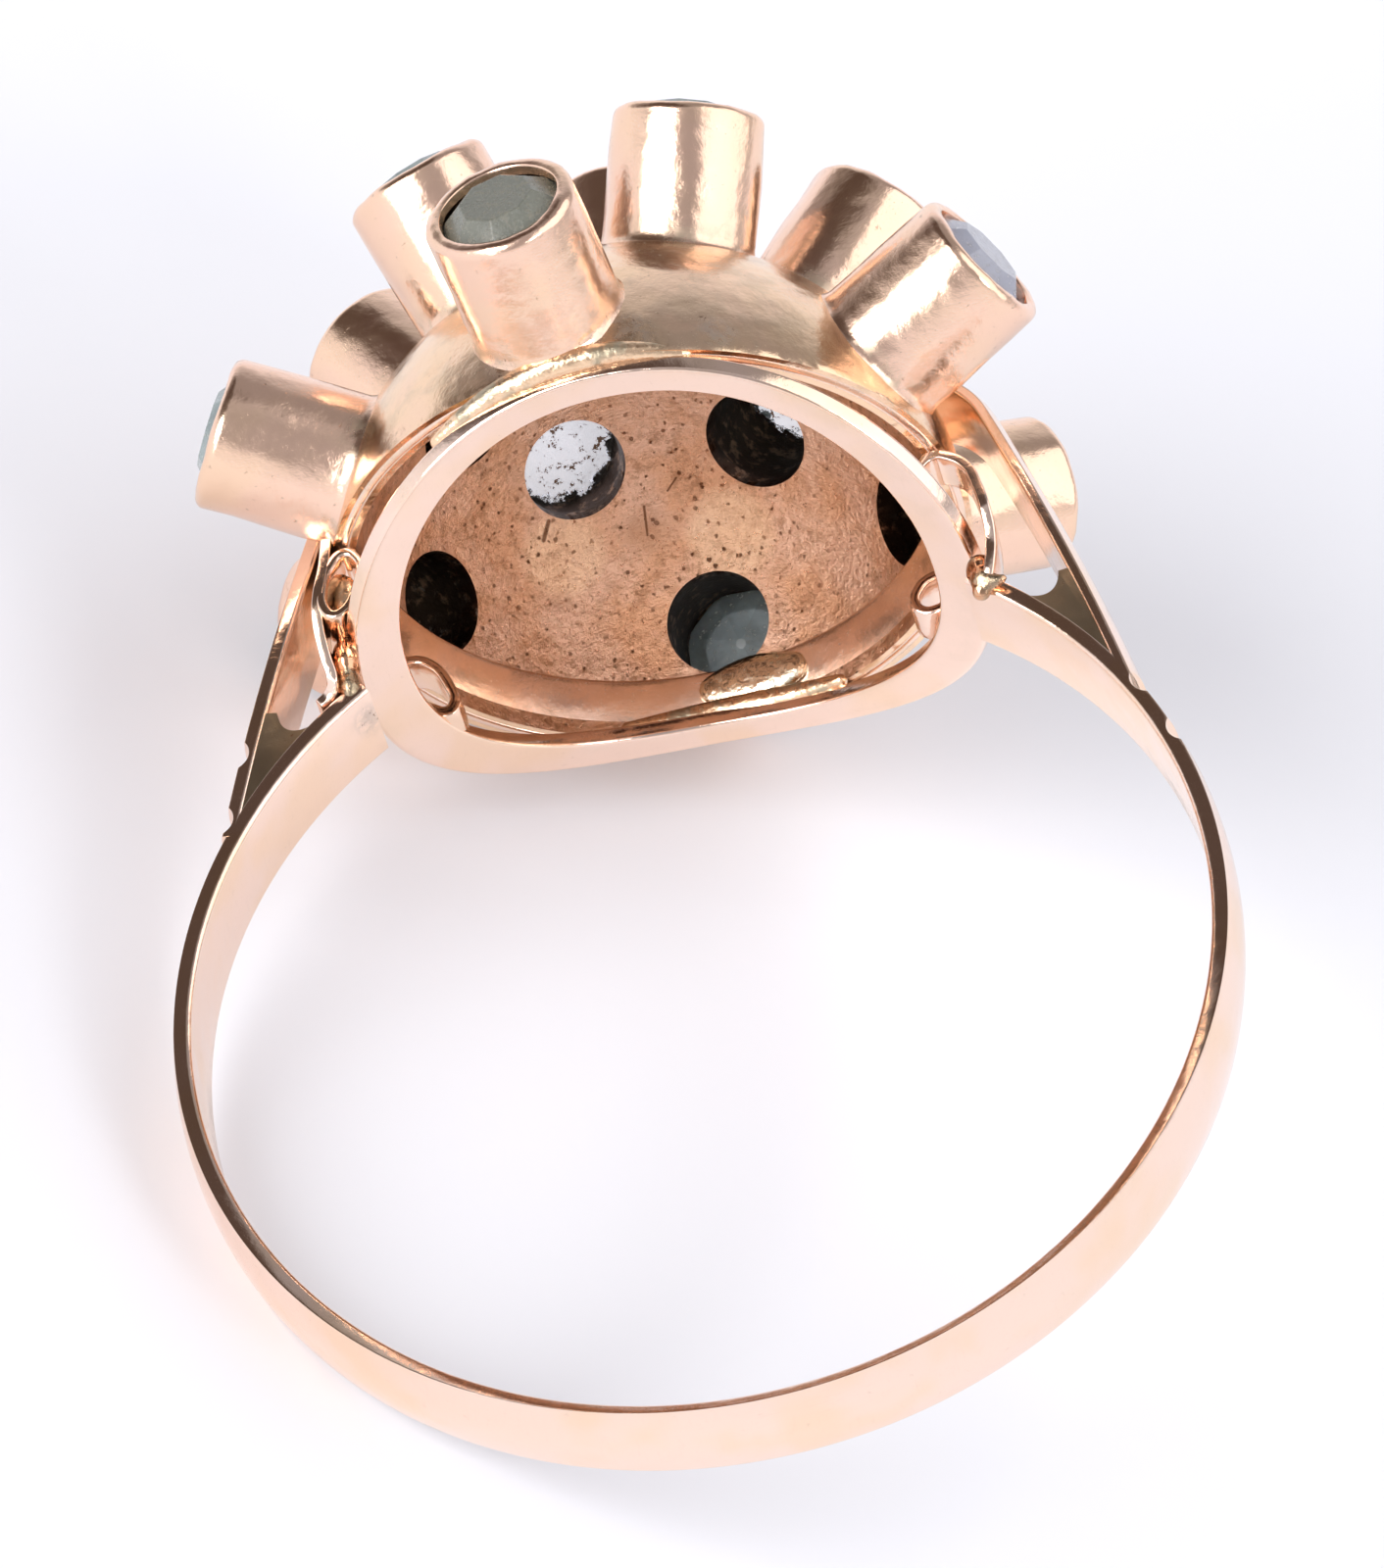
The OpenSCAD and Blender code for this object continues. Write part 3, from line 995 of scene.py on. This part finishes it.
def collet_outline():
    """Radius and height of each step round a collet's wall: up from its foot and down inside."""
    collet = props("collets")
    stone = props("stones")
    head = props("head")
    outer = head.dome_in + head.dome_wall
    lip = collet.lip_round
    sunk = 0.1
    drop = 0.06
    ledge = 0.08
    # the solder fillet, from just under the dome's skin up to the wall
    climb = 1.4 * collet.foot
    low = sqrt(outer ** 2 - collet.radius ** 2) - sunk + climb
    high = collet.tip - lip
    steps = arc((collet.radius + collet.foot, low), collet.foot, climb, -90, -180, 6)
    steps += [(collet.radius, low + (high - low) * share) for share in (0.25, 0.5, 0.75)]
    # the rounded and burnished lip
    steps += arc((collet.radius - lip, high), lip, lip, 0, 90, 8)
    steps += arc((collet.lip_r + drop, collet.tip - drop), drop, drop, 90, 180, 4)[1:]
    # the seat round the stone's girdle, and the tube below it
    seat_r = stone.girdle_r + stone.gap
    seat = girdle_height() - ledge - stone.gap
    steps += [(collet.lip_r, collet.tip - collet.lip_t), (seat_r, collet.tip - collet.lip_t), (seat_r, seat)]
    low = seat - ledge
    steps += [(collet.tube_r, low + (outer - sunk - low) * share) for share in (0, 0.33, 0.66, 1)]
    steps += [(collet.tube_r, outer - 0.22), (collet.radius - sunk, outer - 0.25)]
    return steps


def turned(name, outline, sides):
    """Closed ring drawn out step by step from a circle, as on a lathe."""
    radius, height = outline[0]
    clear()
    bpy.ops.mesh.primitive_circle_add(
        vertices=sides, radius=radius, fill_type="NOTHING", location=(0, 0, height)
    )
    piece = started(name)
    edit(piece)
    for next_radius, next_height in outline[1:] + outline[:1]:
        pull((0, 0, next_height - height))
        grow = next_radius / radius
        bpy.ops.transform.resize(value=(grow, grow, 1), center_override=(0, 0, next_height))
        radius, height = next_radius, next_height
    clean(piece)
    return piece


class RING_OT_collets(bpy.types.Operator):
    """Model one tube collet and copy it to its thirteen places round the dome"""

    bl_idname = "ring.collets"
    bl_label = "Collets"

    def execute(self, context):
        pattern = turned("collet", collet_outline(), 64)
        sizes = props("collets")
        inner = props("stones").girdle_r + props("stones").gap + 0.02
        pattern.data.materials.append(bpy.data.materials["collet_gold"])
        pattern.data.materials.append(bpy.data.materials["dark_tube"])
        # The seat and tube inside take the near black tube finish, painted shade of the deep tube
        for face in pattern.data.polygons:
            if face.center.xy.length < inner and face.center.z < sizes.tip - sizes.lip_t:
                face.material_index = 1
        dents = bpy.data.textures.new("collet_dents", "CLOUDS")
        dents.noise_scale = 0.8
        for name, direction in COLLETS.items():
            collet = copied(pattern, name.replace("stone", "collet"), along(*direction))
            # the dents of hand work differ on each, because they follow its place on the ring
            modify(collet, "DISPLACE", texture=dents, strength=0.09, mid_level=0.68, texture_coords="LOCAL")
            lay(collet, None, 40)
        bpy.data.objects.remove(pattern)
        return {"FINISHED"}


def make_stone():
    """Cut stone, table up, girdle at the origin: sixteen girdle facets and eight main ones on each side."""
    stone = props("stones")
    wide = stone.girdle_r + 0.06
    culet = 0.1
    slope = 0.8
    crown = cone("crown", 16, stone.girdle_r, stone.girdle_r - stone.crown_h * slope, 0, stone.crown_h)
    combine(crown, cone("mains", 8, wide, stone.table_r, 0, stone.crown_h), "INTERSECT")
    pavilion = cone("pavilion", 16, 2 * culet, stone.girdle_r, -stone.pavilion_h, 0)
    combine(pavilion, cone("mains", 8, culet, wide, -stone.pavilion_h, 0), "INTERSECT")
    combine(crown, pavilion, "UNION")
    clean(crown, 0.002)
    soften(crown, stone.wear, 2, 6)
    return crown


class RING_OT_stones(bpy.types.Operator):
    """Cut one stone and set a copy of it in every collet"""

    bl_idname = "ring.stones"
    bl_label = "Stones"

    def execute(self, context):
        pattern = make_stone()
        lift = Matrix.Translation((0, 0, girdle_height()))
        for index, (name, direction) in enumerate(COLLETS.items()):
            place = along(*direction) @ lift @ Matrix.Rotation(0.7 * index, 4, "Z")
            stone = copied(pattern, name.replace("stone", "gem"), place)
            lay(stone, "pale_stone", 8, [name])
        bpy.data.objects.remove(pattern)
        radius = 1.06
        thickness = 0.06
        # Glowing sheets behind two stones: painted light standing for the light coming through them
        for name in ("stone_10", "stone_11"):
            crust = cone(
                name.replace("stone", "crust"), 48, radius, radius, GLOW_OUT, GLOW_OUT + thickness
            )
            crust.data.transform(along(*COLLETS[name]))
            lay(crust, "pale_crust", 32)
        return {"FINISHED"}


# Scrolls and solder


def ribbon(name, points, closed, front, width, thickness):
    """Strip bent along points of the ring's plane, standing across the finger."""
    line = bpy.data.curves.new(name, "CURVE")
    line.dimensions = "3D"
    line.resolution_u = 10
    spline = line.splines.new("BEZIER")
    spline.bezier_points.add(len(points) - 1)
    for knot, (x, z, *shift) in zip(spline.bezier_points, points):
        knot.co = (x, front + sum(shift), z)
        knot.handle_left_type = "AUTO"
        knot.handle_right_type = "AUTO"
    spline.use_cyclic_u = closed
    piece = bpy.data.objects.new(name, line)
    bpy.context.collection.objects.link(piece)
    only(piece)
    bpy.ops.object.convert(target="MESH")
    piece = bpy.context.object
    edit(piece)
    rows = 4
    for row in range(rows):
        pull((0, width / rows, 0))
    clean(piece)
    modify(piece, "SOLIDIFY", thickness=thickness, offset=0.0)
    soften(piece, thickness * 0.3, 3, 50)
    return piece


# Each scroll: where its near edge lies along the finger, whether it closes on itself, and its points:
# across the ring, upwards, and where it drifts along the finger, how far
SCROLLS = {
    "scroll_left_front": (-1.8, True, (
        (-5.31, 9.39), (-5.07, 9.21), (-5.05, 8.89), (-5.2, 8.43), (-5.39, 8.15), (-5.58, 8.09),
        (-5.72, 8.25), (-5.73, 8.7), (-5.59, 9.11),
    )),
    "scroll_left_tail": (-1.8, False, (
        (-5.6, 9.75), (-5.68, 9.18), (-5.82, 8.56), (-5.88, 8.16, 0.1), (-5.84, 7.54, 0.4),
        (-5.79, 7.18, 0.6), (-5.9, 7.03, 0.8), (-6.1, 6.9, 0.88),
    )),
    "scroll_left_rear": (1.8, True, (
        (-5.19, 9.3), (-5.08, 9.55), (-4.83, 9.62), (-4.5, 9.43), (-4.24, 8.95), (-4.17, 8.55),
        (-4.3, 8.4), (-4.57, 8.51), (-4.88, 8.8),
    )),
    "scroll_left_inner": (1.8, False, (
        (-5.1, 9.2), (-5.03, 8.88), (-4.76, 8.58), (-4.48, 8.38), (-4.24, 8.36), (-4.12, 8.56),
    )),
    "scroll_right_front": (-1.5, False, (
        (4.6, 8.45), (4.62, 8.95), (4.78, 9.27), (5.0, 9.39), (5.28, 9.3), (5.54, 9.05),
        (5.69, 8.59), (5.78, 8.09), (5.8, 7.66, 0.2), (5.72, 7.1, 0.3), (5.62, 6.8, 0.4),
    )),
    "scroll_right_rear": (1.8, True, (
        (4.62, 9.36), (4.32, 9.36), (4.11, 9.16), (4.03, 8.88), (4.14, 8.7), (4.35, 8.66), (4.6, 8.8),
    )),
}


class RING_OT_scrolls(bpy.types.Operator):
    """Bend the strip scrolls between the rim and the gallery"""

    bl_idname = "ring.scrolls"
    bl_label = "Scrolls"

    def execute(self, context):
        sizes = props("scrolls")
        for name, (front, closed, points) in SCROLLS.items():
            lay(ribbon(name, points, closed, front, sizes.width, sizes.thickness), "rose_gold", 40)
        return {"FINISHED"}


def fused(name, drops, voxel):
    """One smooth run of solder from several drops, each a centre, a radius and its stretch."""
    pieces = []
    for centre, radius, stretch in drops:
        clear()
        bpy.ops.mesh.primitive_ico_sphere_add(subdivisions=3, radius=radius, location=centre, scale=stretch)
        pieces.append(started(name))
    only(*pieces)
    bpy.ops.object.join()
    run = bpy.context.object
    modify(run, "REMESH", mode="VOXEL", voxel_size=voxel)
    modify(run, "SMOOTH", factor=0.7, iterations=12)
    clean(run)
    return run


# Drops of solder where the shoulders meet the gallery, each a centre, a radius and its stretch
PLAIN = (1, 1, 1)
LEFT_JOINT = (
    ((-5.56, -0.85, 7.75), 0.34, (0.75, 1, 1.3)),
    ((-5.54, -0.75, 7.3), 0.3, (0.75, 1, 1.3)),
    ((-5.56, -0.5, 7.1), 0.22, (0.9, 1.5, 0.9)),
    ((-5.5, 0, 7.38), 0.2, (1, 3, 1)),
)
RIGHT_JOINT = (
    ((5.48, 0, 7.35), 0.2, (1, 3, 1)),
    ((5.52, -0.8, 7.2), 0.3, (0.9, 1, 1.2)),
    ((5.56, -0.92, 6.95), 0.24, PLAIN),
    ((5.68, -1.0, 6.84), 0.16, PLAIN),
    ((5.8, -1.03, 6.8), 0.12, PLAIN),
    ((5.9, -1.06, 6.8), 0.09, PLAIN),
    ((5.5, -0.9, 6.72), 0.17, PLAIN),
)
LOOP = (((-5.4, -1.25, 8.72), 0.33, (0.75, 0.5, 1.75)),)


class RING_OT_solder(bpy.types.Operator):
    """Run solder where shoulders meet gallery and where gallery meets rim"""

    bl_idname = "ring.solder"
    bl_label = "Solder"

    def execute(self, context):
        head = props("head")
        for name, finish, voxel, drops in (
            ("solder_joint_left", "dark_solder", 0.04, LEFT_JOINT),
            ("solder_joint_right", "dark_solder", 0.035, RIGHT_JOINT),
            ("solder_loop", "dull_solder", 0.04, LOOP),
            ("solder_front", "dull_solder", 0.05, self.seam(head, -1, -2.9, 1.6, 5.4)),
            ("solder_rear", "dull_solder", 0.045, self.seam(head, 1, -1.4, 2.5, 4.98)),
            ("solder_bright", "solder", 0.045, self.pool(head)),
        ):
            lay(fused(name, drops, voxel), finish, 80)
        return {"FINISHED"}

    def pool(self, head):
        """Pool of solder that has run up the inner side of the rim, pale in its own colour and paler still
        as a painted highlight.
        """
        radius = head.rim_in + 0.04
        top = head.saddle_r + head.gallery_t + 0.62
        steps = 8
        for step in range(steps + 1):
            x = 0.15 + 1.5 * step / steps
            swell = 0.6 + 0.4 * sin(pi * step / steps)
            yield (x + head.head_x, sqrt(radius ** 2 - x ** 2), top), 0.38 * swell, (1.2, 0.65, 1.4)

    def seam(self, head, side, start, end, radius):
        """Drops of solder along the gallery's top, from one place across the ring to another."""
        steps = 40
        for step in range(steps + 1):
            x = start + (end - start) * step / steps
            taper = 0.55 + 0.45 * sin(pi * step / steps)
            top = sqrt(head.saddle_r ** 2 - (x + head.head_x) ** 2) + head.gallery_t + 0.08
            yield (x + head.head_x, side * sqrt(radius ** 2 - x ** 2), top), 0.26 * taper, PLAIN


class RING_OT_materials(bpy.types.Operator):
    """Mix the finishes of the gold, the solder and the stones"""

    bl_idname = "ring.materials"
    bl_label = "Finishes"

    def execute(self, context):
        tints = props("finishes")
        mix("rose_gold", gold, tints.rose, tints.yellow, 0.1, stain=0.08, wave=0.7, specks=0.12)
        mix("collet_gold", gold, tints.collet, tints.yellow, 0.16, stain=0.7, wave=1.2, specks=0.45)
        mix("yellow_gold", gold, tints.yellow, tints.collet, 0.14, stain=0.25, wave=1.2, specks=0.3)
        mix("rim_gold", gold, tints.rose, tints.yellow, 0.2, stain=0.2, wave=0.8, specks=0.3)
        mix("web_gold", gold, tints.web, tints.olive, 0.3, wave=0.8, specks=0.6)
        mix("dome_inside", brushed_inside)
        mix("dark_tube", dark_tube)
        mix("solder", solder_metal, tints.solder, tints.solder, 0.2, 0.15)
        mix("dull_solder", solder_metal, tints.yellow, tints.olive, 0.24, 0.4)
        mix("dark_solder", solder_metal, tints.inside, tints.web, 0.12, 0.5)
        mix("pale_stone", pale_stone)
        mix("pale_crust", pale_crust)
        return {"FINISHED"}


# The stage


def aim(piece, place, target, roll=0.0):
    """Stand a camera or light at a place, looking at a target."""
    back = (place - target).normalized()
    right = Vector((0, 0, 1)).cross(back).normalized()
    up = back.cross(right)
    turn = Matrix((right, up, back)).transposed().to_4x4()
    piece.matrix_world = Matrix.Translation(place) @ turn @ Matrix.Rotation(roll, 4, "Z")


def around(azimuth, elevation, distance):
    """Place seen at an azimuth and elevation, where azimuth 0 looks along +Y."""
    return Vector((sin(azimuth) * cos(elevation), -cos(azimuth) * cos(elevation), sin(elevation))) * distance


class RING_OT_stage(bpy.types.Operator):
    """Set the floor, the soft lights, the surroundings and the camera"""

    bl_idname = "ring.stage"
    bl_label = "Stage"

    def execute(self, context):
        stage = props("stage")
        self.floor(stage)
        self.camera(stage)
        for name, azimuth, elevation, width, power in (
            ("left_light", -68, 33, 42, stage.side_lights),
            ("right_light", 80, 50, 70, 0.55 * stage.side_lights),
            ("left_front_light", -45, 16, 16, 0.6 * stage.front_lights),
            ("right_front_light", 28, 38, 16, stage.front_lights),
        ):
            clear()
            bpy.ops.object.light_add(type="SUN")
            light = context.object
            light.name = name
            light.data.energy = power
            light.data.angle = radians(width)
            aim(light, around(radians(azimuth), radians(elevation), 0.35), Vector((0, 0, 0.006)))
        self.surroundings(stage)
        context.scene.view_settings.view_transform = "Standard"
        context.scene.view_settings.look = "None"
        return {"FINISHED"}

    def floor(self, stage):
        clear()
        bpy.ops.mesh.primitive_plane_add(size=3)
        floor = started("floor")
        paper = bpy.data.materials.new("paper_floor")
        inputs = {"Base Color": flat(stage.floor), "Roughness": 0.9}
        ended(emptied(paper).node("BsdfPrincipled", {}, inputs), "Material")
        floor.data.materials.append(paper)

    def camera(self, stage):
        target = Vector((stage.target_x, stage.target_y, stage.target_z)) * MM
        place = target + around(stage.azimuth, stage.elevation, stage.distance * MM)
        clear()
        bpy.ops.object.camera_add()
        camera = bpy.context.object
        camera.name = "camera"
        camera.data.lens = stage.lens
        camera.data.sensor_width = 36
        camera.data.clip_start = 0.005
        camera.data.clip_end = 10
        aim(camera, place, target, stage.tilt)
        bpy.context.scene.camera = camera

    def surroundings(self, stage):
        """Pale room with a dark doorway, and a dark gap over the top that the edges mirror."""
        world = bpy.data.worlds.new("room")
        shade = emptied(world)
        place = shade.node("TexCoord", {}, {}, "Generated")
        side, depth, height = (measured("DOT_PRODUCT", place, axis) for axis in Matrix.Identity(3))
        from_gap = measured("DOT_PRODUCT", place, (0.024, 0.87, -0.493))
        gap = ramp(from_gap.maths("ABSOLUTE", from_gap), 0.5, 0.3)
        gap = gap * ramp(side, -0.95, -0.75) * ramp(height, 0.0, 0.15) * (1.0 - 0.5 * ramp(side, -0.3, -0.1))
        doorway = measured("DOT_PRODUCT", place, (-0.618, 0.663, 0.423))
        sky = layered(
            stage.front_room,
            (ramp(depth, -0.3, 0.2), stage.room),
            (ramp(height, 0.5, 0.15), stage.sweep),
            (ramp(doorway, 0.87, 0.95) * 0.75, stage.dark_room),
            (gap, stage.dark_room),
        )
        ended(shade.node("Background", {}, {"Color": sky, "Strength": 1.0}), "World")
        bpy.context.scene.world = world


GROUPS = {
    "ring_shank": ShankSizes,
    "ring_head": HeadSizes,
    "ring_collets": ColletSizes,
    "ring_stones": StoneSizes,
    "ring_scrolls": ScrollSizes,
    "ring_finishes": Finishes,
    "ring_stage": StageSettings,
}

STEPS = (
    RING_OT_stage,
    RING_OT_materials,
    RING_OT_shank,
    RING_OT_gallery,
    RING_OT_dome,
    RING_OT_collets,
    RING_OT_stones,
    RING_OT_scrolls,
    RING_OT_solder,
)


class RING_PT_panel(bpy.types.Panel):
    bl_label = "Cluster Ring"
    bl_idname = "RING_PT_panel"
    bl_space_type = "VIEW_3D"
    bl_region_type = "UI"
    bl_category = "Ring"

    def draw(self, context):
        for step in STEPS:
            self.layout.operator(step.bl_idname)
        for group in GROUPS:
            box = self.layout.box()
            settings = getattr(context.scene, group)
            for name in settings.__annotations__:
                box.prop(settings, name)


CLASSES = (*GROUPS.values(), *STEPS, RING_PT_panel)


def register():
    for kind in CLASSES:
        bpy.utils.register_class(kind)
    for name, group in GROUPS.items():
        setattr(bpy.types.Scene, name, PointerProperty(type=group))


def unregister():
    for name in GROUPS:
        delattr(bpy.types.Scene, name)
    for kind in reversed(CLASSES):
        bpy.utils.unregister_class(kind)


def main():
    register()
    clear()
    bpy.ops.ring.stage()
    bpy.ops.ring.materials()
    bpy.ops.ring.shank()
    bpy.ops.ring.gallery()
    bpy.ops.ring.dome()
    bpy.ops.ring.collets()
    bpy.ops.ring.stones()
    bpy.ops.ring.scrolls()
    bpy.ops.ring.solder()


if __name__ == "__main__":
    main()
